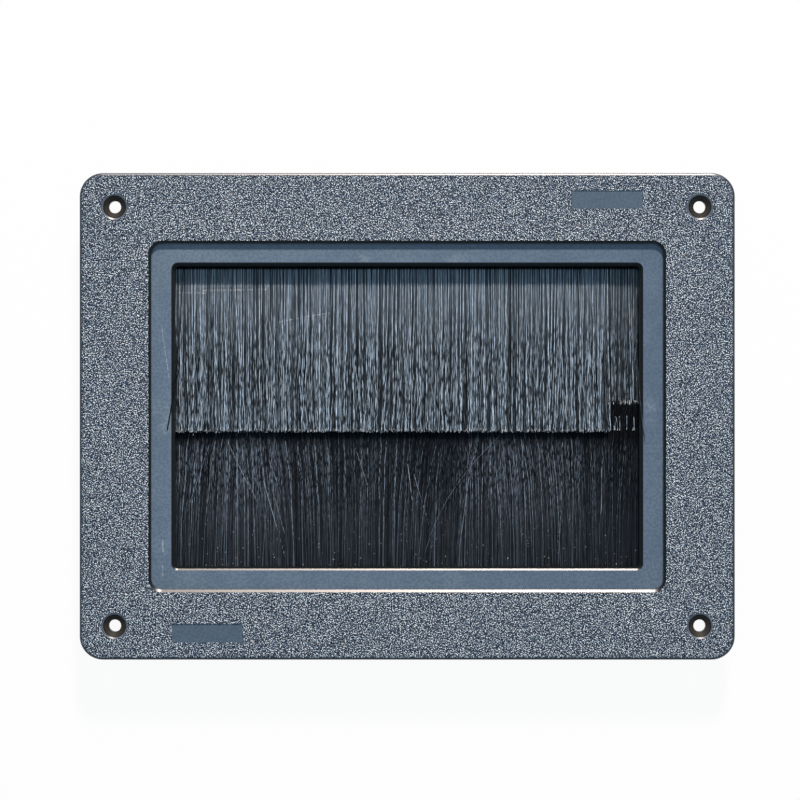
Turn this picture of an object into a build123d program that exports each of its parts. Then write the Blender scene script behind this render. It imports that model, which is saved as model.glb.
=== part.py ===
"""A raised-floor cable outlet: a moulded frame whose opening is closed by two opposed strip brushes.

The frame lies in the XY plane with its long side along X. The origin is the centre of the flange's
underside, the plane that sits on the floor panel, and +Z points up out of the floor. Everything below
z = 0 hangs in the cut-out of the floor panel.
"""

import os
import random

from build123d import *

os.makedirs("parts", exist_ok=True)

# Flange, in millimetres
plate_length = 280.0
plate_width = 208.0
plate_corner = 10.0
plate_height = 5.0
plate_wall = 2.5
rim_wall = 2.2
plate_edge_round = 1.2

# Smooth recess round the opening: a ledge at the ends and along the sides
end_ledge = 9.2
side_ledge = 8.8
recess_corner = 4.6
recess_depth = 3.0
recess_bevel_width = 1.1
recess_bevel_drop = 0.57
ledge_wall = 2.4

# Cable opening and the lip that hangs below its edge
opening_length = 200.6
opening_width = 130.4
opening_corner = 2.2
opening_bevel_width = 0.7
opening_bevel_drop = 0.36
lip_inset = 0.7
lip_wall = 3.8
lip_depth = 6.8

# Blank label fields, sunk in the face, one near each end
label_length = 30.2
label_width = 7.8
label_corner = 0.4
label_depth = 0.4
label_end_inset = 39.5
label_side_inset = 7.5

# Floor screws, countersunk
screw_end_inset = 15.0
screw_side_inset = 14.5
screw_hole_radius = 2.6
screw_sink_radius = 4.8
screw_sink_angle = 90.0
screw_boss_radius = 6.5

# Strip brush: a folded metal channel that grips filaments bent round a core wire
channel_overhang = 1.5
channel_height = 7.4
channel_thickness = 4.8
channel_wall = 0.6
channel_bend = 0.9
pinch_bend = 0.4
channel_pinch = 0.3
pinch_height = 0.8
mouth_setback = 1.4
core_wire_radius = 0.8
core_wire_setback = 2.6

# Filament packs, drawn as combs of tufts
pack_end_gap = 0.6
pack_clearance = 0.05
overlap_reach = 6.2
overlap_gap = 0.3
overlap_lead = 3.0
pack_thickness = 2.2
pack_tip_thickness = 1.9
crossed_length = 13.8
tuft_pitch = 2.4
tuft_root_cover = 3.0
tuft_root_gap = 0.12
tuft_tip_gap = 0.6
tuft_lean = 0.4
tuft_ragged = 0.6

# Collar that lines the cut-out in the floor panel
collar_wall = 2.4
collar_depth = 20.0
collar_corner = 6.0
collar_lead_in = 1.0
channel_clearance = 0.3
side_pocket = 10.3

# Retaining frame that clamps both channels from below
ring_thickness = 3.0
ring_clearance = 0.4
ring_end_cover = 1.0
ring_bead_wall = 1.4
ring_bead_height = 2.0

# Retaining screws, and the bosses that they bite into
boss_radius = 3.4
boss_end_inset = 3.5
boss_row_inset = 15.9
boss_web = 1.6
pilot_depth = 8.0
shank_radius = 1.2
shank_clearance = 0.05
shank_length = 9.5
ring_hole_radius = 1.6
head_radius = 2.7
head_height = 1.9
head_bevel = 0.7
drive_length = 3.0
drive_width = 0.7
drive_depth = 1.0

# Ribs and channel stops moulded with the frame
rib_wall = 1.6
rib_pitch = 36.0
rib_floor_gap = 0.4
stop_clearance = 0.2

# Levels and outlines that follow from the sizes above
plate_floor = plate_height - plate_wall
screw_spacing_x = plate_length - 2 * screw_end_inset
screw_spacing_y = plate_width - 2 * screw_side_inset
label_x = plate_length / 2 - label_end_inset - label_length / 2
label_y = plate_width / 2 - label_side_inset - label_width / 2
recess_length = opening_length + 2 * end_ledge
recess_width = opening_width + 2 * side_ledge
ledge_top = plate_height - recess_depth
ledge_floor = ledge_top - ledge_wall
channel_top = ledge_top - lip_depth
channel_floor = channel_top - channel_thickness
brush_level = (channel_top + channel_floor) / 2
channel_length = opening_length + 2 * channel_overhang
pack_length = channel_length - 2 * pack_end_gap
channel_mouth = opening_width / 2 + mouth_setback
channel_back = channel_mouth + channel_height
pack_half = channel_thickness / 2 - channel_wall - pack_clearance
pack_neck = pack_half - channel_pinch - pack_clearance
collar_inner_length = opening_length + 2 * side_pocket
collar_inner_width = 2 * (channel_back + channel_clearance)
collar_inner_corner = collar_corner - collar_wall
collar_length = collar_inner_length + 2 * collar_wall
collar_width = collar_inner_width + 2 * collar_wall
lip_inner_length = opening_length - 2 * lip_inset
lip_inner_width = opening_width - 2 * lip_inset
lip_inner_corner = opening_corner - lip_inset
lip_outer_length = lip_inner_length + 2 * lip_wall
lip_outer_width = lip_inner_width + 2 * lip_wall
ring_length = collar_inner_length - 2 * ring_clearance
ring_width = collar_inner_width - 2 * ring_clearance
ring_opening_length = pack_length - 2 * ring_end_cover
ring_opening_width = 2 * channel_mouth
ring_opening_corner = opening_corner
ring_floor = channel_floor - ring_thickness
boss_spacing_x = ring_length - 2 * boss_end_inset
boss_spacing_y = ring_width - 2 * boss_row_inset
stop_start = channel_length / 2 + stop_clearance
stop_length = lip_outer_length / 2 - stop_start


def centred_steps(span, pitch):
    """Places centred on zero, one pitch apart, as many as fit in the span."""
    count = int(span // pitch) + 1
    return [(i - (count - 1) / 2) * pitch for i in range(count)]


def floor_screw_places():
    return GridLocations(screw_spacing_x, screw_spacing_y, 2, 2)


def boss_places():
    return GridLocations(boss_spacing_x, boss_spacing_y, 2, 2)


# Moulded frame: flange, recess, lip, collar and everything moulded with them
with BuildPart() as face_frame:
    with BuildSketch(Plane.XY.offset(plate_floor)):
        RectangleRounded(plate_length, plate_width, plate_corner)
    extrude(amount=plate_wall)
    with BuildSketch():
        RectangleRounded(plate_length, plate_width, plate_corner)
        offset(amount=-rim_wall, mode=Mode.SUBTRACT)
    extrude(amount=plate_floor)

    # Collar, hollow up to the underside of the ledge
    with BuildSketch(Plane.XY.offset(-collar_depth)):
        RectangleRounded(collar_length, collar_width, collar_corner)
    extrude(amount=collar_depth + plate_floor)
    with BuildSketch(Plane.XY.offset(-collar_depth)):
        RectangleRounded(collar_inner_length, collar_inner_width, collar_inner_corner)
    extrude(amount=collar_depth + ledge_floor, mode=Mode.SUBTRACT)
    collar_rim = face_frame.faces().sort_by(Axis.Z)[0]
    chamfer(collar_rim.outer_wire().edges(), length=collar_lead_in)

    # Recess in the face, and the opening through its ledge
    with BuildSketch(Plane.XY.offset(ledge_top)):
        RectangleRounded(recess_length, recess_width, recess_corner)
    extrude(amount=recess_depth, mode=Mode.SUBTRACT)
    with BuildSketch(Plane.XY.offset(ledge_floor)):
        RectangleRounded(opening_length, opening_width, opening_corner)
    extrude(amount=ledge_wall, mode=Mode.SUBTRACT)

    # Rounded outer edge of the face, and the bevels of the recess and of the opening
    face = face_frame.faces().sort_by(Axis.Z)[-1]
    fillet(face.outer_wire().edges(), radius=plate_edge_round)
    face = face_frame.faces().sort_by(Axis.Z)[-1]
    chamfer(
        face.inner_wires()[0].edges(), length=recess_bevel_width, length2=recess_bevel_drop, reference=face
    )
    ledge = face_frame.faces().filter_by(Axis.Z).filter_by_position(
        Axis.Z, ledge_top - 0.01, ledge_top + 0.01
    )[0]
    chamfer(
        ledge.inner_wires()[0].edges(), length=opening_bevel_width, length2=opening_bevel_drop, reference=ledge
    )

    # Lip that hangs below the opening's edge and bears on the brush channels
    with BuildSketch(Plane.XY.offset(channel_top)):
        Rectangle(lip_outer_length, lip_outer_width)
        RectangleRounded(
            lip_inner_length, lip_inner_width, lip_inner_corner, mode=Mode.SUBTRACT
        )
    extrude(amount=ledge_floor - channel_top)

    # Stops that hold the channels endways
    with BuildSketch(Plane.XY.offset(channel_floor + stop_clearance)):
        stop_reach = collar_inner_width / 2 + collar_wall / 2 - channel_mouth
        with GridLocations(2 * stop_start + stop_length, 2 * channel_mouth + stop_reach, 2, 2):
            Rectangle(stop_length, stop_reach)
    extrude(amount=ledge_floor - channel_floor - stop_clearance)

    # Bosses for the retaining screws, webbed to the lip and the collar
    with BuildSketch(Plane.XY.offset(channel_floor)):
        with boss_places():
            Circle(boss_radius)
    extrude(amount=ledge_floor - channel_floor)
    with BuildSketch(Plane.XY.offset(channel_top)):
        with boss_places():
            Rectangle(side_pocket, boss_web)
    extrude(amount=ledge_floor - channel_top)
    with BuildSketch(Plane.XY.offset(channel_floor)):
        with boss_places():
            Circle(shank_radius + shank_clearance)
    extrude(amount=pilot_depth, mode=Mode.SUBTRACT)

    # Stiffening ribs under the flange, from the rim to the collar
    with BuildSketch(Plane.XY.offset(rib_floor_gap)):
        with Locations(*[(x, 0) for x in centred_steps(collar_length, rib_pitch)]):
            Rectangle(rib_wall, plate_width - rim_wall)
        with Locations(*[(0, y) for y in centred_steps(collar_width, rib_pitch)]):
            Rectangle(plate_length - rim_wall, rib_wall)
        Rectangle(collar_length - collar_wall, collar_width - collar_wall, mode=Mode.SUBTRACT)
    extrude(amount=plate_floor - rib_floor_gap)

    # Countersunk holes for the floor screws, in bosses that reach the floor
    with BuildSketch():
        with floor_screw_places():
            Circle(screw_boss_radius)
    extrude(amount=plate_floor)
    with Locations(Plane.XY.offset(plate_height)):
        with floor_screw_places():
            CounterSinkHole(
                radius=screw_hole_radius,
                counter_sink_radius=screw_sink_radius,
                counter_sink_angle=screw_sink_angle,
            )

    # Blank label fields
    with BuildSketch(Plane.XY.offset(plate_height)):
        with Locations((label_x, label_y), (-label_x, -label_y)):
            RectangleRounded(label_length, label_width, label_corner)
    extrude(amount=-label_depth, mode=Mode.SUBTRACT)

face_frame.part.label = "face_frame"
export_step(face_frame.part, "parts/face_frame.step")


# Retaining frame: a flat ring with a stiffening bead along its opening
with BuildPart() as retaining_frame:
    with BuildSketch(Plane.XY.offset(ring_floor)):
        RectangleRounded(ring_length, ring_width, collar_inner_corner - ring_clearance)
    extrude(amount=ring_thickness)
    with BuildSketch(Plane.XY.offset(ring_floor)):
        RectangleRounded(ring_opening_length, ring_opening_width, ring_opening_corner)
        offset(amount=ring_bead_wall)
    extrude(amount=-ring_bead_height)
    with BuildSketch(Plane.XY.offset(ring_floor - ring_bead_height)):
        RectangleRounded(ring_opening_length, ring_opening_width, ring_opening_corner)
    extrude(amount=ring_bead_height + ring_thickness, mode=Mode.SUBTRACT)
    with BuildSketch(Plane.XY.offset(ring_floor)):
        with boss_places():
            Circle(ring_hole_radius)
    extrude(amount=ring_thickness, mode=Mode.SUBTRACT)

retaining_frame.part.label = "retaining_frame"
export_step(retaining_frame.part, "parts/retaining_frame.step")


# Retaining screws: pan heads against the ring, shanks up into the bosses
with BuildPart() as retaining_screws:
    with BuildSketch(Plane.XY.offset(ring_floor)):
        with boss_places():
            Circle(head_radius)
    extrude(amount=-head_height)
    chamfer(retaining_screws.edges().group_by(Axis.Z)[0], length=head_bevel)
    with BuildSketch(Plane.XY.offset(ring_floor)):
        with boss_places():
            Circle(shank_radius)
    extrude(amount=shank_length)
    with BuildSketch(Plane.XY.offset(ring_floor - head_height)):
        with boss_places():
            Rectangle(drive_length, drive_width)
            Rectangle(drive_width, drive_length)
    extrude(amount=drive_depth, mode=Mode.SUBTRACT)

retaining_screws.part.label = "retaining_screws"
export_step(retaining_screws.part, "parts/retaining_screws.step")


def brush_channel(side):
    """The folded channel on one side, its mouth towards the opening. side is 1 at +Y and -1 at -Y."""
    half = channel_thickness / 2 - channel_wall / 2
    back = channel_back - channel_wall / 2
    with BuildPart() as channel:
        with BuildSketch(Plane.YZ.offset(-channel_length / 2)):
            with BuildLine():
                FilletPolyline(
                    (side * channel_mouth, brush_level + half - channel_pinch),
                    (side * (channel_mouth + pinch_height), brush_level + half),
                    (side * back, brush_level + half),
                    (side * back, brush_level - half),
                    (side * (channel_mouth + pinch_height), brush_level - half),
                    (side * channel_mouth, brush_level - half + channel_pinch),
                    radius=[pinch_bend, channel_bend, channel_bend, pinch_bend],
                )
            trace(line_width=channel_wall)
        extrude(amount=channel_length)
    return channel


def core_wire(side):
    """The wire that the filaments are folded round, at the back of the channel."""
    with BuildPart() as wire:
        with BuildSketch(Plane.YZ.offset(-pack_length / 2)):
            with Locations((side * (channel_back - core_wire_setback), brush_level)):
                Circle(core_wire_radius)
        extrude(amount=pack_length)
    return wire


def gripped_section(side):
    """Section of the filaments inside the channel, folded round the core wire."""
    back = channel_back - channel_wall - pack_clearance
    shoulder = channel_mouth + pinch_height + channel_wall / 2
    with BuildSketch(Plane.YZ.offset(-pack_length / 2)) as section:
        with BuildLine():
            Polyline(
                (side * channel_mouth, brush_level + pack_neck),
                (side * shoulder, brush_level + pack_half),
                (side * back, brush_level + pack_half),
                (side * back, brush_level - pack_half),
                (side * shoulder, brush_level - pack_half),
                (side * channel_mouth, brush_level - pack_neck),
                close=True,
            )
        make_face()
        fillet(section.vertices().group_by(Axis.X)[-1 if side > 0 else 0], radius=channel_bend)
        with Locations((side * (channel_back - core_wire_setback), brush_level)):
            Circle(core_wire_radius, mode=Mode.SUBTRACT)
    return section.sketch


def curtain_section(side, level, start):
    """Side view of the free filaments. level is 1 for a set that crosses over the other, -1 for under."""
    near = brush_level + level * overlap_gap / 2
    with BuildSketch(Plane.YZ.offset(start)) as section:
        with BuildLine():
            Polyline(
                (side * channel_mouth, brush_level + level * pack_neck),
                (side * (overlap_reach + overlap_lead), near + level * pack_thickness),
                (-side * (overlap_reach + tuft_ragged), near + level * pack_tip_thickness),
                (-side * (overlap_reach + tuft_ragged), near),
                (side * (overlap_reach + overlap_lead), near),
                (side * channel_mouth, brush_level - level * pack_neck),
                close=True,
            )
        make_face()
    return section.sketch


def tuft_plan(side, start, end, wander):
    """Plan of the free filaments from start to end along X: tufts that part a little towards their tips."""
    count = round((end - start) / tuft_pitch)
    pitch = (end - start) / count
    base = side * channel_mouth
    root = side * (channel_mouth - tuft_root_cover)
    leans = [wander.uniform(-tuft_lean, tuft_lean) for i in range(count + 1)]
    outline = [(start, base)]
    for i in range(count):
        left = start + i * pitch
        right = left + pitch
        tip = -side * (overlap_reach + wander.uniform(-tuft_ragged, tuft_ragged))
        outline.append((left + tuft_root_gap / 2, root))
        outline.append((left + leans[i] + tuft_tip_gap / 2, tip))
        outline.append((right + leans[i + 1] - tuft_tip_gap / 2, tip))
        outline.append((right - tuft_root_gap / 2, root))
    outline.append((end, base))
    with BuildSketch(Plane.XY.offset(channel_floor)) as plan:
        with BuildLine():
            Polyline(*outline, close=True)
        make_face()
    return plan.sketch


def free_filaments(side, level, start, end, wander):
    """One curtain of tufts: its plan raised through the brush, cut to its side view."""
    with BuildPart() as curtain:
        extrude(tuft_plan(side, start, end, wander), amount=channel_thickness, dir=(0, 0, 1))
        extrude(
            curtain_section(side, level, start),
            amount=end - start,
            dir=(1, 0, 0),
            mode=Mode.INTERSECT,
        )
    return curtain


def bristle_pack(side, level, wander):
    """All filaments of one brush. Near the right end the two sets cross the other way round."""
    crossing = pack_length / 2 - crossed_length
    main = free_filaments(side, level, -pack_length / 2, crossing, wander)
    crossed = free_filaments(side, -level, crossing, pack_length / 2, wander)
    with BuildPart() as pack:
        extrude(gripped_section(side), amount=pack_length, dir=(1, 0, 0))
        add(main.part)
        add(crossed.part)
    return pack


upper_brush_channel = brush_channel(1)
upper_brush_channel.part.label = "upper_brush_channel"
export_step(upper_brush_channel.part, "parts/upper_brush_channel.step")

lower_brush_channel = brush_channel(-1)
lower_brush_channel.part.label = "lower_brush_channel"
export_step(lower_brush_channel.part, "parts/lower_brush_channel.step")

upper_brush_core_wire = core_wire(1)
upper_brush_core_wire.part.label = "upper_brush_core_wire"
export_step(upper_brush_core_wire.part, "parts/upper_brush_core_wire.step")

lower_brush_core_wire = core_wire(-1)
lower_brush_core_wire.part.label = "lower_brush_core_wire"
export_step(lower_brush_core_wire.part, "parts/lower_brush_core_wire.step")

upper_brush_bristles = bristle_pack(1, 1, random.Random(11))
upper_brush_bristles.part.label = "upper_brush_bristles"
export_step(upper_brush_bristles.part, "parts/upper_brush_bristles.step")

lower_brush_bristles = bristle_pack(-1, -1, random.Random(23))
lower_brush_bristles.part.label = "lower_brush_bristles"
export_step(lower_brush_bristles.part, "parts/lower_brush_bristles.step")
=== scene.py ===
"""Looks of a raised-floor cable outlet: grained slate plastic, smooth ledge, and two nylon strip brushes."""

import math
import random
from types import SimpleNamespace

import bmesh
import bpy
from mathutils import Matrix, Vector, noise


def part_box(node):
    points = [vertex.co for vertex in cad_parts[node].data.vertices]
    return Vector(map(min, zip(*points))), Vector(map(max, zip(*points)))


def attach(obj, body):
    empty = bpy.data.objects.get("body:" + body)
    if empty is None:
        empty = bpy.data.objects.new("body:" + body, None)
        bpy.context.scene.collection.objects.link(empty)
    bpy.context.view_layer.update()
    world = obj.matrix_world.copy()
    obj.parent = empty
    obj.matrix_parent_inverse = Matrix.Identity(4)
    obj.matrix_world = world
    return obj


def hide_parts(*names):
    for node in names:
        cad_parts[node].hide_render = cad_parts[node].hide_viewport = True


MM = 0.001

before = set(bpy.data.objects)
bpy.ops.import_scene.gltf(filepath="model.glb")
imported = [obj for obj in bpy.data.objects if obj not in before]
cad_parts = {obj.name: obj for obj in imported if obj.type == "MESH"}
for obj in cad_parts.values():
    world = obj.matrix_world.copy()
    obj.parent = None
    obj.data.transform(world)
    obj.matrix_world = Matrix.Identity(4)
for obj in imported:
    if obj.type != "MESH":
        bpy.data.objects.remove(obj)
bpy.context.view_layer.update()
frame_low, frame_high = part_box("face_frame")
upper_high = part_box("upper_brush_bristles")[1]
lower_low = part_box("lower_brush_bristles")[0]
channel_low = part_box("upper_brush_channel")[0]

# Levels and places of the outlet, in metres
face_level = frame_high[2]
stand_level = frame_low[2]
ledge_depth = 3.0 * MM
brush_level = (upper_high[2] + lower_low[2]) / 2
pack_half_length = upper_high[0]
channel_mouth = channel_low[1]
recess_half_length = 109.5 * MM
recess_half_width = 74.0 * MM
recess_wall = 1.5 * MM
screw_x = 125.0 * MM
screw_y = 89.5 * MM
screw_sink_radius = 4.8 * MM
plate_corner = 10.0 * MM
rim_start = plate_corner - 1.0 * MM

# Patterns of the slate plastic: the size of their features, in metres
grain_size = 0.46 * MM
tint_size = 30 * MM
mottle_size = 14 * MM
fading_size = 38 * MM
patch_grain = 5 * MM
scratch_grain = 1.2 * MM
cloud_size = 1.1 * MM
fine_size = 0.5 * MM

# Colours of the slate plastic, as linear red, green and blue
smooth_dark, smooth_light = (0.112, 0.164, 0.228), (0.132, 0.190, 0.258)
smooth_faded = (0.155, 0.210, 0.270)
smooth_cloud = (0.050, 0.085, 0.135)
smooth_shade = (0.020, 0.050, 0.110)
patch_pale = (0.32, 0.38, 0.43)
scratch_pale = (0.62, 0.66, 0.70)
label_dark, label_light = (0.062, 0.098, 0.140), (0.080, 0.120, 0.168)
# Grain of the face: painted shade in the pits, crest tints, a painted lighter crest colour and a painted glint
pit_shade_rim, pit_shade_floor = (0.008, 0.032, 0.074), (0.000, 0.001, 0.006)
crest_blue, crest_grey = (0.17, 0.32, 0.53), (0.25, 0.37, 0.54)
crest_lit = (0.62, 0.74, 0.90)
painted_glint = (0.88, 0.97, 1.0)
# Painted shade on the rounded outer rim, on the inner edges and below the ledge, and in the countersinks
rim_painted_shade = (0.014, 0.018, 0.024)
inner_painted_shade = (0.005, 0.006, 0.007)
sink_painted_shade, sink_edge_painted_shade = (0.034, 0.028, 0.023), (0.003, 0.003, 0.003)
sink_ring = (0.10, 0.12, 0.15)

# Marks on the ledge, in millimetres: pale patches as centre, length, width and strength, then scratches
ledge_pale_patches = (
    (-19.5, 67.5, 13.0, 7.0, 0.55),
    (21.0, 67.5, 16.0, 8.0, 0.4),
    (-20.0, -69.6, 12.0, 9.0, 0.35),
    (20.0, -69.6, 12.0, 9.0, 0.35),
    (-104.5, -1.0, 11.0, 20.0, 0.55),
    (104.0, 2.0, 9.0, 14.0, 0.5),
)
ledge_scratches = (
    ((-104.9, 37.3), (-101.8, 15.5), 0.22, 0.35),
    ((-104.7, -53.2), (-104.5, -57.9), 0.4, 0.4),
    ((-104.8, -63.9), (-104.6, -68.2), 0.35, 0.4),
)

# Size of the photograph's frame at the level of the face, and where its middle lies on the outlet
view_width = 341.65 * MM
view_middle = (-3.1 * MM, 7.0 * MM)
view_distance = 1.4
sensor_width = 36.0


# Node helpers

class Finish:
    """One material, put together node by node. All patterns lie in the outlet's own coordinates."""

    def __init__(self, name):
        self.material = bpy.data.materials.new(name)
        self.material.use_nodes = True
        self.tree = self.material.node_tree
        self.shader = self.tree.nodes["Principled BSDF"]
        self.place = self.add("ShaderNodeTexCoord").outputs["Object"]

    def add(self, kind, **settings):
        node = self.tree.nodes.new(kind)
        for key, value in settings.items():
            setattr(node, key, value)
        return node

    def feed(self, socket, value):
        """Links a socket to another one, or sets it to a plain value."""
        if isinstance(value, bpy.types.NodeSocket):
            self.tree.links.new(value, socket)
        else:
            socket.default_value = value

    def set(self, **constants):
        """Sets the shader's own sockets, such as Roughness or Metallic."""
        for name, value in constants.items():
            self.shader.inputs[name.replace("_", " ")].default_value = value

    def split(self, vector):
        node = self.add("ShaderNodeSeparateXYZ")
        self.feed(node.inputs[0], vector)
        return node.outputs

    def join(self, *values):
        node = self.add("ShaderNodeCombineXYZ")
        for socket, value in zip(node.inputs, values):
            self.feed(socket, value)
        return node.outputs[0]

    def normal(self):
        return self.add("ShaderNodeNewGeometry").outputs["Normal"]

    def number(self, operation, *values):
        """One operation on numbers."""
        node = self.add("ShaderNodeMath", operation=operation)
        for socket, value in zip(node.inputs, values):
            self.feed(socket, value)
        return node.outputs[0]

    def vector(self, operation, *values):
        """One operation on vectors. Its result is a vector, or a number for a dot product or a length."""
        node = self.add("ShaderNodeVectorMath", operation=operation)
        for socket, value in zip(node.inputs, values):
            self.feed(socket, value)
        return node.outputs["Value" if operation in ("DOT_PRODUCT", "LENGTH") else "Vector"]

    def product(self, *values):
        result = values[0]
        for value in values[1:]:
            result = self.number("MULTIPLY", result, value)
        return result

    def distance(self, u, v):
        """Length of the long side of a right angle with the sides u and v."""
        return self.number("SQRT", self.number("ADD", self.product(u, u), self.product(v, v)))

    def step(self, value, low, high, kind="SMOOTHSTEP"):
        """0 below low, 1 above high, and smooth or straight between. low may be the larger one."""
        node = self.add("ShaderNodeMapRange", interpolation_type=kind)
        if low > high:
            low, high = high, low
            node.inputs["To Min"].default_value = 1.0
            node.inputs["To Max"].default_value = 0.0
        self.feed(node.inputs["Value"], value)
        node.inputs["From Min"].default_value = low
        node.inputs["From Max"].default_value = high
        return node.outputs["Result"]

    def noise(self, size, detail=2.0, stretch=(1, 1, 1), distortion=0.0):
        """Cloudy pattern between 0 and 1, with features of about that size in metres."""
        mapping = self.add("ShaderNodeMapping")
        self.feed(mapping.inputs["Vector"], self.place)
        mapping.inputs["Scale"].default_value = stretch
        node = self.add("ShaderNodeTexNoise")
        self.feed(node.inputs["Vector"], mapping.outputs[0])
        node.inputs["Scale"].default_value = 1.0 / size
        node.inputs["Detail"].default_value = detail
        node.inputs["Distortion"].default_value = distortion
        return node.outputs["Fac"]

    def cells(self, size):
        """Cells of about that size: the distance to each one's middle, and a random number for each."""
        node = self.add("ShaderNodeTexVoronoi")
        self.feed(node.inputs["Vector"], self.place)
        node.inputs["Scale"].default_value = 1.0 / size
        return node.outputs["Distance"], self.split(node.outputs["Color"])[0]

    def mix(self, share, low, high):
        """Blend of two colours."""
        node = self.add("ShaderNodeMix", data_type="RGBA")
        self.feed(node.inputs[0], share)
        for socket, value in ((node.inputs[6], low), (node.inputs[7], high)):
            self.feed(socket, value if isinstance(value, bpy.types.NodeSocket) else (*value, 1.0))
        return node.outputs[2]

    def blend(self, share, low, high):
        """Blend of two numbers."""
        node = self.add("ShaderNodeMix", data_type="FLOAT")
        self.feed(node.inputs[0], share)
        self.feed(node.inputs[2], low)
        self.feed(node.inputs[3], high)
        return node.outputs[0]

    def turn(self, share, low, high):
        """Blend of two vectors."""
        node = self.add("ShaderNodeMix", data_type="VECTOR")
        self.feed(node.inputs[0], share)
        self.feed(node.inputs[4], low)
        self.feed(node.inputs[5], high)
        return node.outputs[1]

    def bump(self, height, distance, strength=1.0, over=None):
        node = self.add("ShaderNodeBump")
        self.feed(node.inputs["Height"], height)
        node.inputs["Distance"].default_value = distance
        self.feed(node.inputs["Strength"], strength)
        if over is not None:
            self.feed(node.inputs["Normal"], over)
        return node.outputs[0]

    def patch(self, across, along, length, width):
        """1 at a place in the plan view and 0 from half the length and width away, smooth between."""
        x, y, z = self.split(self.place)
        u = self.number("DIVIDE", self.number("SUBTRACT", x, across * MM), length / 2 * MM)
        v = self.number("DIVIDE", self.number("SUBTRACT", y, along * MM), width / 2 * MM)
        return self.step(self.distance(u, v), 1.0, 0.15)

    def stroke(self, start, end, width):
        """1 on a thin straight line of the plan view, given by its two ends, and 0 beside it."""
        begin = (start[0] * MM, start[1] * MM, 0.0)
        run = ((end[0] - start[0]) * MM, (end[1] - start[1]) * MM, 0.0)
        flat = self.vector("MULTIPLY", self.place, (1.0, 1.0, 0.0))
        arm = self.vector("SUBTRACT", flat, begin)
        share = self.number("DIVIDE", self.vector("DOT_PRODUCT", arm, run), run[0] ** 2 + run[1] ** 2)
        share.node.use_clamp = True
        foot = self.add("ShaderNodeVectorMath", operation="SCALE")
        self.feed(foot.inputs[0], run)
        self.feed(foot.inputs["Scale"], share)
        gap = self.vector("LENGTH", self.vector("SUBTRACT", arm, foot.outputs[0]))
        return self.step(gap, width * MM, width * 0.4 * MM)

    def specks(self, spacing, size, share):
        """Small dots, one in some of the cells of a grid, given the share of cells that have one."""
        distance, lot = self.cells(spacing * MM)
        dot = self.step(distance, size / spacing, size / spacing * 0.6)
        return self.product(dot, self.step(lot, 1 - share, 1.01 - share))

    def colour(self, value):
        self.feed(self.shader.inputs["Base Color"], value)

    def rough(self, value):
        self.feed(self.shader.inputs["Roughness"], value)

    def relief(self, value):
        self.feed(self.shader.inputs["Normal"], value)

    def paint(self, pattern, dark, light, roughness, marks, height, strength):
        """Colour and roughness that follow one pattern, and fine marks as relief."""
        self.colour(self.mix(pattern, dark, light))
        self.rough(self.blend(pattern, *roughness))
        self.relief(self.bump(marks, height, strength))


def dress(obj, finish):
    """Puts one material on a piece."""
    obj.data.materials.clear()
    obj.data.materials.append(finish.material)


# Finishes

def slate_places(f):
    """Where each kind of surface of the face frame is: shares from 0 to 1, and lengths in metres."""
    x, y, z = f.split(f.place)
    upward = f.split(f.normal())[2]
    off_x = f.number("ABSOLUTE", x)
    off_y = f.number("ABSOLUTE", y)
    depth = f.number("SUBTRACT", face_level, z)
    from_screw = f.distance(f.number("SUBTRACT", off_x, screw_x), f.number("SUBTRACT", off_y, screw_y))
    past_sink = f.number("SUBTRACT", from_screw, screw_sink_radius)
    past_x = f.number("MAXIMUM", f.number("SUBTRACT", off_x, frame_high[0] - plate_corner), 0.0)
    past_y = f.number("MAXIMUM", f.number("SUBTRACT", off_y, frame_high[1] - plate_corner), 0.0)
    corner_reach = f.distance(past_x, past_y)
    past_rim = f.number("SUBTRACT", corner_reach, rim_start)

    on_face = f.product(f.step(depth, 0.2 * MM, 0.05 * MM), f.step(upward, 0.93, 0.99))
    on_label = f.product(
        f.step(depth, 0.6 * MM, 0.5 * MM),
        f.step(depth, 0.25 * MM, 0.35 * MM),
        f.step(upward, 0.9, 0.99),
    )
    within_recess = f.product(
        f.step(off_x, recess_half_length + recess_wall, recess_half_length + recess_wall - 0.15 * MM),
        f.step(off_y, recess_half_width + recess_wall, recess_half_width + recess_wall - 0.15 * MM),
    )
    below_ledge = f.product(within_recess, f.step(depth, ledge_depth + 0.5 * MM, ledge_depth + 0.9 * MM))
    near_recess = f.product(
        f.step(off_x, recess_half_length + 22 * MM, recess_half_length + 3 * MM),
        f.step(off_y, recess_half_width + 22 * MM, recess_half_width + 3 * MM),
    )
    above_rim = f.step(depth, 1.3 * MM, 1.1 * MM)
    return SimpleNamespace(
        on_face=on_face,
        on_label=on_label,
        near_recess=near_recess,
        inner_edge=f.number("MAXIMUM", f.product(f.step(upward, 0.97, 0.92), within_recess), below_ledge),
        past_sink=past_sink,
        in_sink=f.step(past_sink, 0.2 * MM, 0.05 * MM),
        round_sink=f.product(on_face, f.step(past_sink, 0.9 * MM, 0.7 * MM)),
        past_rim=past_rim,
        above_rim=above_rim,
        outer_edge=f.product(above_rim, f.step(past_rim, -0.2 * MM, 0.0)),
        outward=f.join(
            f.product(past_x, f.number("SIGN", x)),
            f.product(past_y, f.number("SIGN", y)),
            f.product(corner_reach, 2.4),
        ),
    )


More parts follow.
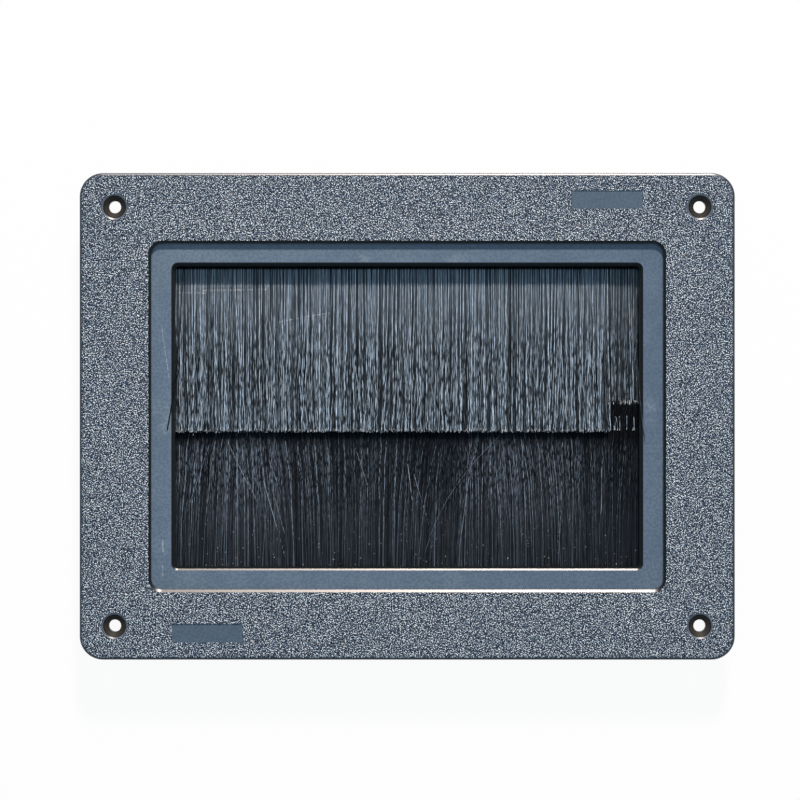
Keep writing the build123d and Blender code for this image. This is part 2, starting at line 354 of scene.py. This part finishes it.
def smooth_tones(f, mottle):
    """Colours of the ledge and of the label fields: soft mottling, pale patches at mid-sides, and a scratch and
    scuffs at the left. Towards the right the ledge is a little darker and bluer, as painted shade."""
    x = f.split(f.place)[0]
    tone = f.mix(f.step(mottle, 0.3, 0.7), smooth_dark, smooth_light)
    faded = f.step(f.noise(fading_size, detail=1.0), 0.5, 0.7)
    tone = f.mix(f.product(faded, 0.5), tone, smooth_faded)
    ragged = f.step(f.noise(patch_grain, detail=4.0), 0.35, 0.7)
    for across, along, length, width, share in ledge_pale_patches:
        tone = f.mix(f.product(f.patch(across, along, length, width), ragged, share), tone, patch_pale)
    broken = f.step(f.noise(scratch_grain), 0.3, 0.5)
    for start, end, width, share in ledge_scratches:
        tone = f.mix(f.product(f.stroke(start, end, width), broken, share), tone, scratch_pale)
    cloud = f.step(f.noise(cloud_size), 0.40, 0.60)
    tone = f.mix(f.product(cloud, 0.42), tone, smooth_cloud)
    tone = f.mix(f.product(f.step(x, -60 * MM, 108 * MM), 0.2), tone, smooth_shade)
    return tone, f.mix(cloud, label_dark, label_light)


def grained_tone(f, grain, near_recess):
    """Colour of the face: fine pebbles, with painted highlights on their tops and painted shade in the pits
    between them. The crests are painted lighter near the recess and towards the lower edge.
    """
    y = f.split(f.place)[1]
    pit = f.mix(f.step(grain, 0.48, 0.38), pit_shade_rim, pit_shade_floor)
    crest = f.mix(f.noise(tint_size, detail=1.0), crest_blue, crest_grey)
    crest = f.mix(f.product(near_recess, 0.4), crest, crest_lit)
    crest = f.mix(f.product(f.step(y, frame_high[1], frame_low[1]), 0.4), crest, crest_lit)
    tone = f.mix(f.step(grain, 0.56, 0.625), pit, crest)
    return f.mix(f.step(grain, 0.605, 0.65), tone, painted_glint)


def moulded_plastic():
    """Slate plastic: grained on the face, smooth on the ledge and labels, glossy on inner edges, with painted
    shade on the inner edges, on the outer rim and in the countersinks.
    """
    f = Finish("slate_plastic")
    at = slate_places(f)
    grain = f.noise(grain_size, detail=0.5, distortion=0.35)
    mottle = f.noise(mottle_size, detail=3.0)

    ledge_tone, label_tone = smooth_tones(f, mottle)
    tone = f.mix(at.on_label, ledge_tone, label_tone)
    tone = f.mix(at.on_face, tone, grained_tone(f, grain, at.near_recess))
    # Painted shade: the rounded outer rim, the inner edges and all below the ledge, and the countersinks, darkest
    # at their rim
    outer_painted_shade = f.product(at.above_rim, f.step(at.past_rim, -1.0 * MM, 0.8 * MM), 0.85)
    tone = f.mix(outer_painted_shade, tone, rim_painted_shade)
    tone = f.mix(at.inner_edge, tone, inner_painted_shade)
    sink_shade_tone = f.mix(f.step(at.past_sink, -0.45 * MM, -0.2 * MM), sink_painted_shade, sink_edge_painted_shade)
    tone = f.mix(at.in_sink, tone, sink_shade_tone)
    f.colour(f.mix(f.product(at.round_sink, f.number("SUBTRACT", 1.0, at.in_sink)), tone, sink_ring))

    edge = f.number("MAXIMUM", f.number("MAXIMUM", at.inner_edge, at.outer_edge), at.round_sink)
    rough = f.blend(at.on_face, f.blend(mottle, 0.36, 0.5), 0.36)
    f.rough(f.blend(edge, rough, 0.32))

    # The rounded rims of the plate and of its screw holes catch the light, and the grain ends beside them
    rim_band = f.product(
        at.above_rim,
        f.step(at.past_rim, 0.0, 0.1 * MM),
        f.step(at.past_rim, 0.75 * MM, 0.6 * MM),
    )
    facing = f.turn(rim_band, f.normal(), f.vector("NORMALIZE", at.outward))
    sink_rim = f.step(at.past_sink, 0.05 * MM, 0.75 * MM, "LINEAR")
    rims = f.bump(sink_rim, 0.32 * MM, over=facing)
    smooth_relief = f.bump(f.noise(fine_size, detail=1.0), 0.01 * MM, 0.25, over=rims)
    clear_of_rims = f.product(
        f.step(at.past_sink, 0.6 * MM, 1.0 * MM),
        f.step(at.past_rim, 0.0, -0.4 * MM),
    )
    f.relief(f.bump(grain, 0.5 * MM, f.product(at.on_face, clear_of_rims), over=smooth_relief))
    f.set(Specular_IOR_Level=0.7)
    return f


def black_plastic():
    """Retaining frame: plain black moulding with faint flow marks."""
    f = Finish("black_plastic")
    flow = f.noise(20 * MM, detail=4.0, stretch=(1, 2.5, 1))
    f.paint(
        flow, dark=(0.014, 0.015, 0.017), light=(0.034, 0.036, 0.040), roughness=(0.42, 0.6),
        marks=f.noise(0.6 * MM), height=0.03 * MM, strength=0.4,
    )
    f.set(Specular_IOR_Level=0.35)
    return f


def galvanised_steel():
    """Brush channels: zinc-coated sheet with faint spangle and rolling marks."""
    f = Finish("galvanised_steel")
    spangle = f.cells(5 * MM)[1]
    f.paint(
        spangle, dark=(0.42, 0.44, 0.46), light=(0.60, 0.62, 0.63), roughness=(0.30, 0.48),
        marks=f.noise(0.5 * MM, detail=3.0, stretch=(0.03, 1, 1)), height=0.02 * MM, strength=0.4,
    )
    f.set(Metallic=1.0)
    return f


def drawn_wire():
    """Core wires: bright drawn steel with marks along its length."""
    f = Finish("drawn_wire")
    drawn = f.noise(0.3 * MM, stretch=(0.02, 1, 1))
    f.paint(
        drawn, dark=(0.36, 0.37, 0.38), light=(0.58, 0.59, 0.60), roughness=(0.25, 0.4),
        marks=drawn, height=0.01 * MM, strength=0.5,
    )
    f.set(Metallic=1.0)
    return f


def zinc_plate():
    """Retaining screws: clear zinc with a little tarnish."""
    f = Finish("zinc_plate")
    tarnish = f.noise(1.5 * MM, detail=3.0)
    f.paint(
        tarnish, dark=(0.46, 0.47, 0.48), light=(0.70, 0.71, 0.72), roughness=(0.22, 0.42),
        marks=f.noise(0.2 * MM), height=0.01 * MM, strength=0.3,
    )
    f.set(Metallic=1.0)
    return f


# Painted light and shade on the lower filaments, where they are made lighter or darker, in millimetres: centre,
# length and width, then the gain
lower_painted_patches = (
    (-70.0, -25.0, 95.0, 80.0, 0.5),
    (52.0, -25.0, 66.0, 66.0, 0.65),
    (13.0, -18.0, 46.0, 60.0, -0.5),
)

# Painted glints in rows across the upper filaments, along creases, in millimetres: start, end and width, then the
# strength
crease_glints = (
    ((-98.5, 53.2), (-86.0, 53.0), 0.4, 0.8),
    ((-88.0, 54.1), (-60.5, 54.6), 0.4, 0.9),
    ((-98.0, 56.0), (-50.0, 56.2), 0.3, 0.5),
    ((-54.8, 40.6), (-46.0, 42.4), 0.4, 0.8),
    ((-46.0, 42.6), (-33.5, 44.4), 0.4, 0.9),
)

# Colours of the nylon, as linear red, green and blue
# Pale cut ends, partly whitened nylon and partly painted highlight, and the painted highlight along pale strays
cut_and_glint_pale = (0.86, 0.90, 0.95)
dust_grey = (0.5, 0.52, 0.54)
# Painted glint colour of the rows across the upper filaments
crease_glint_pale = (0.78, 0.81, 0.84)

# Streaks of the nylon: their size, where the broken ones near the tips give way to the even ones near the
# roots, in metres from the middle, and the gain of the darkest and of the lightest ones
streak_size = 0.36 * MM
even_from, even_to = 22 * MM, 60 * MM
weakest_streak = 0.05
even_streaks = (0.74, 1.1)
# Painted light: the roots are made a little lighter, as if less shaded where they are packed
root_painted_light = 0.07

# Dust lies thicker towards the roots. Specks are given as spacing and size in millimetres, and share of cells
dust_from, dust_to = 30 * MM, 62 * MM
dust_specks = (2.2, 0.32, 0.5)
# Size of the dots in the painted glint rows
glint_bead_size = 0.7 * MM


def nylon(name, dark, light, shade, root_gain, streak_shortness, streak_strength, dust=0.0, patches=(), marks=()):
    """Filaments. Each carries its own tone, and some cut ends are pale, partly whitened nylon and partly a
    painted highlight. shade is a painted shadow: the stretch from its darkest to its lit end in millimetres, and
    what is left of its light there. root_gain is how much of their light the roots keep, as painted shade, and
    patches are painted light and shade, places where more light gets in, or less."""
    f = Finish(name)
    y = f.number("ABSOLUTE", f.split(f.place)[1])
    tone = f.add("ShaderNodeAttribute", attribute_name="tone").outputs["Fac"]
    cut = f.add("ShaderNodeAttribute", attribute_name="cut").outputs["Fac"]

    # Long even streaks near the roots, and broken ones towards the tips
    streak = f.noise(streak_size, detail=1.0, stretch=(1, streak_shortness, 1))
    split_up = f.step(streak, 0.36, 0.64)
    near_root = f.step(y, even_from, even_to)
    broken = f.blend(split_up, weakest_streak, streak_strength)
    streaks = f.blend(near_root, broken, f.blend(split_up, *even_streaks))
    # Painted light lifts the roots; then root_gain, shade and patches paint shade and light
    share = f.number("ADD", f.product(tone, streaks), f.product(near_root, root_painted_light))
    share = f.product(share, f.blend(near_root, 1.0, root_gain))
    darkest, lit, least = shade
    share = f.product(share, f.blend(f.step(y, darkest * MM, lit * MM), least, 1.0))
    for across, along, length, width, gain in patches:
        share = f.product(share, f.number("MULTIPLY_ADD", f.patch(across, along, length, width), gain, 1.0))
    share.node.use_clamp = True
    body = f.mix(share, dark, light)

    dusty = f.product(f.specks(*dust_specks), f.step(y, dust_from, dust_to), dust)
    body = f.mix(dusty, body, dust_grey)
    glint_beads = f.product(f.step(f.noise(glint_bead_size), 0.38, 0.52), f.step(tone, 0.12, 0.4))
    # Painted glints, dotted rows across the lighter strands
    for start, end, width, strength in marks:
        body = f.mix(f.product(f.stroke(start, end, width), glint_beads, strength), body, crease_glint_pale)
    # Painted highlight: strands with a tone above 1 are paler all along
    body = f.mix(f.product(f.step(tone, 1.0, 2.0), 0.6), body, cut_and_glint_pale)
    f.colour(f.mix(cut, body, cut_and_glint_pale))
    f.rough(f.blend(tone, 0.55, 0.38))
    f.relief(f.bump(streak, 0.05 * MM, 0.3))
    f.set(Specular_IOR_Level=0.14)
    return f


# Filaments

strand_count = 2560
strand_rings = (0.0, 0.05, 0.17, 0.30, 0.42, 0.53, 0.63, 0.72, 0.80, 0.87, 0.93, 0.985, 1.0)
strand_sides = 3
first_strands = 5


def strand_bundle():
    """A bmesh of all strands of one brush, equal and one after the other, each a closed three-sided rod."""
    bm = bmesh.new()
    ring = bmesh.ops.create_circle(bm, cap_ends=True, segments=strand_sides, radius=1.0)["verts"]
    edges = list({edge for vertex in ring for edge in vertex.link_edges})
    for edge in edges:
        edge.smooth = False
    for _ in strand_rings[1:]:
        grown = bmesh.ops.extrude_edge_only(bm, edges=edges)["geom"]
        ring = [item for item in grown if isinstance(item, bmesh.types.BMVert)]
        edges = [item for item in grown if isinstance(item, bmesh.types.BMEdge)]
        edges = [edge for edge in edges if all(vertex in ring for vertex in edge.verts)]
        bmesh.ops.translate(bm, verts=ring, vec=(0, 0, 1))
    for edge in edges:
        edge.smooth = False
    bmesh.ops.edgeloop_fill(bm, edges=edges)
    bmesh.ops.recalc_face_normals(bm, faces=bm.faces)
    for face in bm.faces:
        face.smooth = True

    # A few copies of the one rod, and then the whole lot doubled until there are enough
    strand = bm.verts[:] + bm.edges[:] + bm.faces[:]
    for _ in range(first_strands - 1):
        bmesh.ops.duplicate(bm, geom=strand)
    for _ in range(int(math.log2(strand_count / first_strands))):
        bmesh.ops.duplicate(bm, geom=bm.verts[:] + bm.edges[:] + bm.faces[:])
    return bm


def lay_strands(name, strands, material):
    """Makes one piece of strands. Each strand is its ring centres, radius, turn, tone and cut-end paleness."""
    bm = strand_bundle()
    tone_layer = bm.verts.layers.float.new("tone")
    cut_layer = bm.verts.layers.float.new("cut")
    bm.verts.ensure_lookup_table()
    rings = len(strand_rings)
    for i, (centres, radius, turn, tone, cut) in enumerate(strands):
        for r in range(rings):
            for s in range(strand_sides):
                vertex = bm.verts[(i * rings + r) * strand_sides + s]
                angle = turn + math.tau * s / strand_sides
                vertex.co = centres[r] + Vector((math.cos(angle), 0.0, math.sin(angle))) * radius
                vertex[tone_layer] = tone
                vertex[cut_layer] = cut if r == rings - 1 else 0.0
    bmesh.ops.recalc_face_normals(bm, faces=bm.faces)
    mesh = bpy.data.meshes.new(name)
    bm.to_mesh(mesh)
    bm.free()
    piece = bpy.data.objects.new(name, mesh)
    bpy.context.scene.collection.objects.link(piece)
    dress(piece, material)
    return piece


# How the filaments of both brushes lie, in millimetres
crossing_x = 87.4
pack_margin = 0.3
root_depth = 2.0
root_half_height = 1.2
overlap_gap = 0.3
overlap_height = 1.85
sag = 1.0
free_reach = 6.3
tip_scatter, shortest_tip, longest_tip = 0.4, -1.0, 0.9
settled_share = 0.8

# The three kinds of strand. Sizes are in millimetres, and layers run from -1 at a brush's underside to 1 at its
# upper side. A lean is the usual one and then the range for the few strands that lean far
leader_pitch, leader_jitter, leader_radius = 1.26, 0.3, 0.17
leader_layers = (0.7, 1.0)
leader_lean, leader_far_lean = 1.4, (3.0, 11.0)
leader_cut_power = 1.3
follower_radius = 0.14
follower_layers = (0.45, 0.9)
follower_lean, follower_far_lean, follower_splay_share = 2.0, (2.0, 9.0), 0.6
follower_cut_power = 2
# The ground strands' near-black tone is painted shade deep in the brush
ground_count, ground_layer, ground_radius, ground_sway, ground_shade_tone = 375, 0.25, 0.3, 0.3, 0.06
ground_offsets = (0.25, 0.75)

# Some leaders of the upper brush come up again at the crossing: the share of them up to that lot, and from
# which share of their length on
surfacing_lots = ((0.3, 0.9), (0.5, 0.95))

# How strands wander sideways, in millimetres: in clumps, in wider drifts, each by itself, and in fans
clump_width, clump_length = 1.9, 6.0
drift_width, drift_length, drift_amount = 8.0, 24.0, 1.2
kink_amount = 0.2
fan_start, fan_pitch = 71.5, 102.6
bend_powers = (0.9, 1.8)
held_share = 1 / 6
root_looseness = 0.15

# How the brushes differ: splay is the share of strands that lean far, fan how far whole groups spread, and a
# tone is the least one, the range above it, and a power that makes light ones rarer
# The crossed shares, which darken strands past the crossing, and the low tones of the deeper followers are
# painted shade
upper_manner = SimpleNamespace(
    side=1, seed=5, splay=0.02, fan=0.0,
    leader_sway=0.5, leader_tone=(0.45, 0.5, 1.0), crossed_leader=0.75,
    follower_sway=0.6, follower_tone=(0.05, 0.5, 1.6), crossed_follower=0.5,
)
lower_manner = SimpleNamespace(
    side=-1, seed=9, splay=0.12, fan=5.0,
    leader_sway=0.9, leader_tone=(0.1, 0.8, 2.2), crossed_leader=0.4,
    follower_sway=1.0, follower_tone=(0.0275, 0.275, 1.6), crossed_follower=0.3,
)

# The lower brush's upper side, which falls away from its channel, in millimetres
skin_root, skin_length = -68.6, 74.9
skin_root_height, skin_fall = -6.0, 2.5

# How a stray lies on that side: its root deep between the others, its bend and tip just above
stray_root_length, stray_root_sink = 14.0, 1.0
stray_bend_share, stray_bend_rise = 0.2, 0.2
stray_tip_rise = 0.3


def settling(share):
    """How far a strand has come from its root's height to its tip's, from 0 to 1, at a share of its length."""
    rise = min(1.0, share / settled_share)
    return rise * rise * (3 - 2 * rise)


def skin_point(x, y, rise):
    """A point that far above the lower brush's upper side."""
    return x, y, skin_root_height - skin_fall * settling((y - skin_root) / skin_length) + rise


def lying_stray(tip, dip, radius, tone):
    """A stray that lies on the lower brush from its tip to where it dips in between the others."""
    tip, dip = Vector(tip), Vector(dip)
    root = dip + (dip - tip).normalized() * stray_root_length
    bend = dip + (tip - dip) * stray_bend_share
    return (
        skin_point(*root, -stray_root_sink),
        skin_point(*bend, stray_bend_rise),
        skin_point(*tip, stray_tip_rise),
        radius,
        tone,
    )


# Strands that stray from the others, as root, middle and tip of a curve, then radius and tone. A tone above 1
# paints a highlight along the stray.
upper_strays = (
    ((-96.5, 66.0, -6.6), (-97.5, 20.0, 4.0), (-102.8, -5.8, 2.5), 0.34, 0.0),
    ((97.0, 66.0, -6.6), (98.0, 14.0, 3.8), (101.7, -10.5, 2.4), 0.15, 0.1),
)
lower_strays = (
    lying_stray((-77.3, -11.4), (-69.4, -28.0), 0.17, 1.25),
    lying_stray((-70.7, -22.8), (-65.5, -35.2), 0.15, 0.9),
    lying_stray((-61.9, -28.0), (-56.3, -47.6), 0.17, 1.3),
    lying_stray((-59.6, -18.9), (-56.3, -28.0), 0.15, 0.8),
    lying_stray((-57.9, -32.3), (-54.0, -46.3), 0.15, 1.0),
    lying_stray((-22.3, -13.9), (-17.7, -28.0), 0.15, 1.0),
    lying_stray((-98.2, -12.4), (-98.2, -25.4), 0.17, 1.1),
    lying_stray((-85.1, -11.7), (-93.6, -37.2), 0.14, 0.7),
    lying_stray((-33.7, -16.9), (-33.7, -25.4), 0.17, 1.1),
    lying_stray((0.2, -20.6), (1.5, -30.9), 0.18, 1.4),
    lying_stray((2.9, -25.2), (5.9, -35.2), 0.17, 1.2),
    ((6.0, -68.0, -7.4), (10.0, -36.0, -5.2), (40.5, -7.8, -7.7), 0.13, 1.0),
    lying_stray((83.7, -21.8), (83.7, -35.8), 0.17, 1.25),
    lying_stray((99.1, -9.1), (97.1, -25.8), 0.16, 1.1),
)


class Brush:
    """All strands of one brush, laid one after the other. The brush at +Y lies on top, except at the crossing."""

    def __init__(self, manner, strays):
        self.manner = manner
        self.side = manner.side
        self.chance = random.Random(manner.seed)
        self.half = pack_half_length / MM - pack_margin
        self.root_y = channel_mouth / MM + root_depth
        self.middle = brush_level / MM
        self.strands = []
        self.lay_leaders()
        self.lay_ground()
        self.lay_strays(strays)
        self.lay_followers()

    def lean(self, start, usual, far, far_share):
        """How far a tip lies beside its root: mostly little, but far for a share of the uncrossed strands."""
        lean = self.chance.gauss(0, usual)
        if self.chance.random() < far_share and start < crossing_x:
            lean = self.chance.choice((-1, 1)) * self.chance.uniform(*far)
        return lean

    def tone(self, start, law, crossed_share):
        """How pale a strand is. Past the crossing it is made darker, a painted shade where less light gets in."""
        least, span, power = law
        tone = least + span * self.chance.random() ** power
        return tone * crossed_share if start > crossing_x else tone

    def tip_height(self, start, layer, radius):
        """Height of a tip in the overlap, whose upper or lower half belongs to this brush."""
        lift = 0.5 + 0.5 * layer
        if (self.side > 0) == (start < crossing_x):
            return self.middle + overlap_gap / 2 + radius + lift * (overlap_height - 2 * radius)
        low = self.middle - overlap_gap / 2 - overlap_height + radius
        return low + lift * (overlap_height - sag - 2 * radius)

    def wander(self, u, start, y, layer, sway, kink):
        """How far a strand is pushed sideways at a share u of its length: held at the root, loose at the tip."""
        flow_plane = 3.0 * self.side + 0.5 * layer
        flow = noise.noise(Vector((start / clump_width, y / clump_length, flow_plane)))
        drift = noise.noise(Vector((start / drift_width, y / drift_length, 7.0 * self.side)))
        looseness = (root_looseness + (1 - root_looseness) * u) * min(1.0, u / held_share)
        across = flow * sway * looseness + drift * drift_amount * u * u + kink * kink_amount * sway * u
        if abs(layer) > ground_layer:
            across -= self.manner.fan * math.sin(math.tau * (start + fan_start) / fan_pitch) * u * u
        return across

    def strand(self, start, layer, radius, tone, lean, sway, cut, surfacing=1.0):
        """One strand. layer is 1 at the brush's upper side and -1 at its underside. From the share surfacing
        of its length on, it lies on top of the other brush."""
        chance, half = self.chance, self.half
        reach = free_reach + min(max(chance.gauss(0, tip_scatter), shortest_tip), longest_tip)
        root_z = self.middle + layer * root_half_height
        tip_z = self.tip_height(start, layer, radius)
        kinks = [chance.gauss(0, 1) for _ in strand_rings]
        bend_power = chance.uniform(*bend_powers)
        centres = []
        for u, kink in zip(strand_rings, kinks):
            y = self.root_y - u * (self.root_y + reach)
            across = start + lean * u ** bend_power + self.wander(u, start, y, layer, sway, kink)
            across = min(max(across, radius - half), half - radius)
            height = root_z + (tip_z - root_z) * settling(u)
            if u > surfacing:
                height = self.middle + overlap_height
            centres.append(Vector((across, self.side * y, height)) * MM)
        self.strands.append((centres, radius * MM, chance.uniform(0, math.tau), tone, cut))

    def lay_leaders(self):
        """Leaders: the pale ridges of both skins, about three pixels of the photograph apart. At the crossing,
        some of the upper ones come up again through the lower brush."""
        chance, half, manner = self.chance, self.half, self.manner
        leaders = int(2 * half / leader_pitch)
        for skin in (1, -1):
            for i in range(leaders):
                jitter = chance.uniform(-leader_jitter, leader_jitter)
                start = -half + (i + 0.5 + jitter) * 2 * half / leaders
                crossed = start > crossing_x
                lean = self.lean(start, leader_lean, leader_far_lean, manner.splay)
                tone = self.tone(start, manner.leader_tone, manner.crossed_leader)
                surfacing = 1.0
                if crossed and self.side > 0 and skin > 0:
                    lot = chance.random()
                    surfacing = next((share for limit, share in surfacing_lots if lot < limit), 1.0)
                cut = 1.0 if crossed else chance.random() ** leader_cut_power
                layer = skin * chance.uniform(*leader_layers)
                self.strand(start, layer, leader_radius, tone, lean, manner.leader_sway, cut, surfacing)

    def lay_ground(self):
        """Ground: two even sheets of dark strands that close the brush, half a step apart. Their near-black tone
        is painted shade deep in the brush.
        """
        for layer, offset in zip((ground_layer, -ground_layer), ground_offsets):
            for i in range(ground_count):
                start = -self.half + (i + offset) * 2 * self.half / ground_count
                tone = self.chance.uniform(0.0, ground_shade_tone)
                self.strand(start, layer, ground_radius, tone, lean=0.0, sway=ground_sway, cut=0.0)

    def lay_strays(self, strays):
        """Strays: single strands, each along a curve of its own."""
        for *points, radius, tone in strays:
            root, bend, tip = (Vector(point) for point in points)
            centres = [
                (root * (1 - u) ** 2 + bend * 2 * u * (1 - u) + tip * u * u) * MM for u in strand_rings
            ]
            self.strands.append((centres, radius * MM, 0.0, tone, 0.0))

    def lay_followers(self):
        """Followers: finer strands just under each skin, as many as are left. Their darker tones are painted
        shade.
        """
        chance, manner = self.chance, self.manner
        while len(self.strands) < strand_count:
            start = chance.uniform(-self.half, self.half)
            layer = chance.choice((1, -1)) * chance.uniform(*follower_layers)
            far_share = manner.splay * follower_splay_share
            lean = self.lean(start, follower_lean, follower_far_lean, far_share)
            tone = self.tone(start, manner.follower_tone, manner.crossed_follower)
            cut = chance.random() ** follower_cut_power
            self.strand(start, layer, follower_radius, tone, lean, manner.follower_sway, cut)


# Pieces

def make_brushes():
    upper_nylon = nylon(
        "upper_nylon", dark=(0.006, 0.009, 0.012), light=(0.58, 0.72, 0.87), shade=(63.6, 62.9, 0.02),
        root_gain=0.96, streak_shortness=0.1, streak_strength=1.75, marks=crease_glints,
    )
    # Both brushes are the same nylon: the lower one's darker colours are painted shade
    lower_nylon_shaded = nylon(
        "lower_nylon_shaded", dark=(0.002, 0.003, 0.005), light=(0.25, 0.315, 0.40), shade=(7.5, 16.0, 0.15),
        root_gain=0.6, streak_shortness=0.15, streak_strength=1.9, dust=0.8, patches=lower_painted_patches,
    )
    upper = lay_strands("upper_filaments", Brush(upper_manner, upper_strays).strands, upper_nylon)
    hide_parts("upper_brush_bristles")
    lower = lay_strands("lower_filaments", Brush(lower_manner, lower_strays).strands, lower_nylon_shaded)
    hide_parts("lower_brush_bristles")
    for piece in (upper, lower):
        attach(piece, "root")


def finish_cad_nodes():
    finishes = {
        "face_frame": moulded_plastic(),
        "retaining_frame": black_plastic(),
        "retaining_screws": zinc_plate(),
    }
    steel = galvanised_steel()
    wire = drawn_wire()
    for side in ("upper", "lower"):
        finishes[side + "_brush_channel"] = steel
        finishes[side + "_brush_core_wire"] = wire
    for node, finish in finishes.items():
        dress(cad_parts[node], finish)


# Stage

def make_camera():
    data = bpy.data.cameras.new("photo_camera")
    data.sensor_width = sensor_width
    data.lens = sensor_width * view_distance / view_width
    camera = bpy.data.objects.new("photo_camera", data)
    camera.location = (view_middle[0], view_middle[1], face_level + view_distance)
    bpy.context.scene.collection.objects.link(camera)
    bpy.context.scene.camera = camera


def make_floor():
    """A pale floor under the collar. Seen directly or mirrored it is nearly white, with the shadow kept."""
    floor_half_size = 6.0
    glow_share = 0.94
    bm = bmesh.new()
    bmesh.ops.create_grid(bm, x_segments=1, y_segments=1, size=floor_half_size)
    bmesh.ops.translate(bm, verts=bm.verts, vec=(0, 0, stand_level))
    mesh = bpy.data.meshes.new("floor")
    bm.to_mesh(mesh)
    bm.free()
    floor = bpy.data.objects.new("floor", mesh)
    bpy.context.scene.collection.objects.link(floor)

    f = Finish("pale_floor")
    f.set(Base_Color=(0.86, 0.86, 0.86, 1.0), Roughness=0.9, Specular_IOR_Level=0.1)
    rays = f.add("ShaderNodeLightPath").outputs
    seen = f.number("MAXIMUM", rays["Is Camera Ray"], rays["Is Glossy Ray"])
    seen = f.number("MAXIMUM", seen, rays["Is Transmission Ray"])
    both = f.add("ShaderNodeMixShader")
    f.feed(both.inputs[0], f.product(seen, glow_share))
    f.feed(both.inputs[1], f.shader.outputs[0])
    f.feed(both.inputs[2], f.add("ShaderNodeEmission").outputs[0])
    f.feed(f.tree.nodes["Material Output"].inputs["Surface"], both.outputs[0])
    dress(floor, f)


def make_lamp(name, direction, distance, size, energy, colour):
    data = bpy.data.lights.new(name, "AREA")
    data.shape = "DISK"
    data.size = size
    data.energy = energy
    data.color = colour
    lamp = bpy.data.objects.new(name, data)
    toward = Vector(direction).normalized()
    lamp.location = toward * distance
    lamp.rotation_euler = toward.to_track_quat("Z", "Y").to_euler()
    bpy.context.scene.collection.objects.link(lamp)
    return lamp


def make_light():
    """A fairly small lamp beyond the outlet's upper edge, a soft one overhead, and soft light all round."""
    surround_colour = (0.13, 0.18, 0.215, 1.0)
    backdrop_colour = (1.0, 1.0, 1.0, 1.0)
    world = bpy.data.worlds.new("studio")
    bpy.context.scene.world = world
    world.use_nodes = True
    tree = world.node_tree
    rays = tree.nodes.new("ShaderNodeLightPath").outputs
    surround = tree.nodes.new("ShaderNodeMix")
    surround.data_type = "RGBA"
    surround.inputs[6].default_value = surround_colour
    surround.inputs[7].default_value = backdrop_colour
    tree.links.new(rays["Is Camera Ray"], surround.inputs[0])
    tree.links.new(surround.outputs[2], tree.nodes["Background"].inputs["Color"])

    overhead = make_lamp(
        "overhead_lamp", direction=(0.0, 0.12, 1.0), distance=2.6, size=1.6, energy=15.0, colour=(0.78, 1.0, 1.18)
    )
    overhead.visible_glossy = False
    elevation = math.radians(41)
    toward = (0.08, math.cos(elevation), math.sin(elevation))
    make_lamp("key_lamp", direction=toward, distance=3.0, size=0.38, energy=86.0, colour=(1.15, 1.0, 0.9))


make_camera()
make_light()
make_floor()
finish_cad_nodes()
make_brushes()

bpy.context.scene.view_settings.view_transform = "Standard"
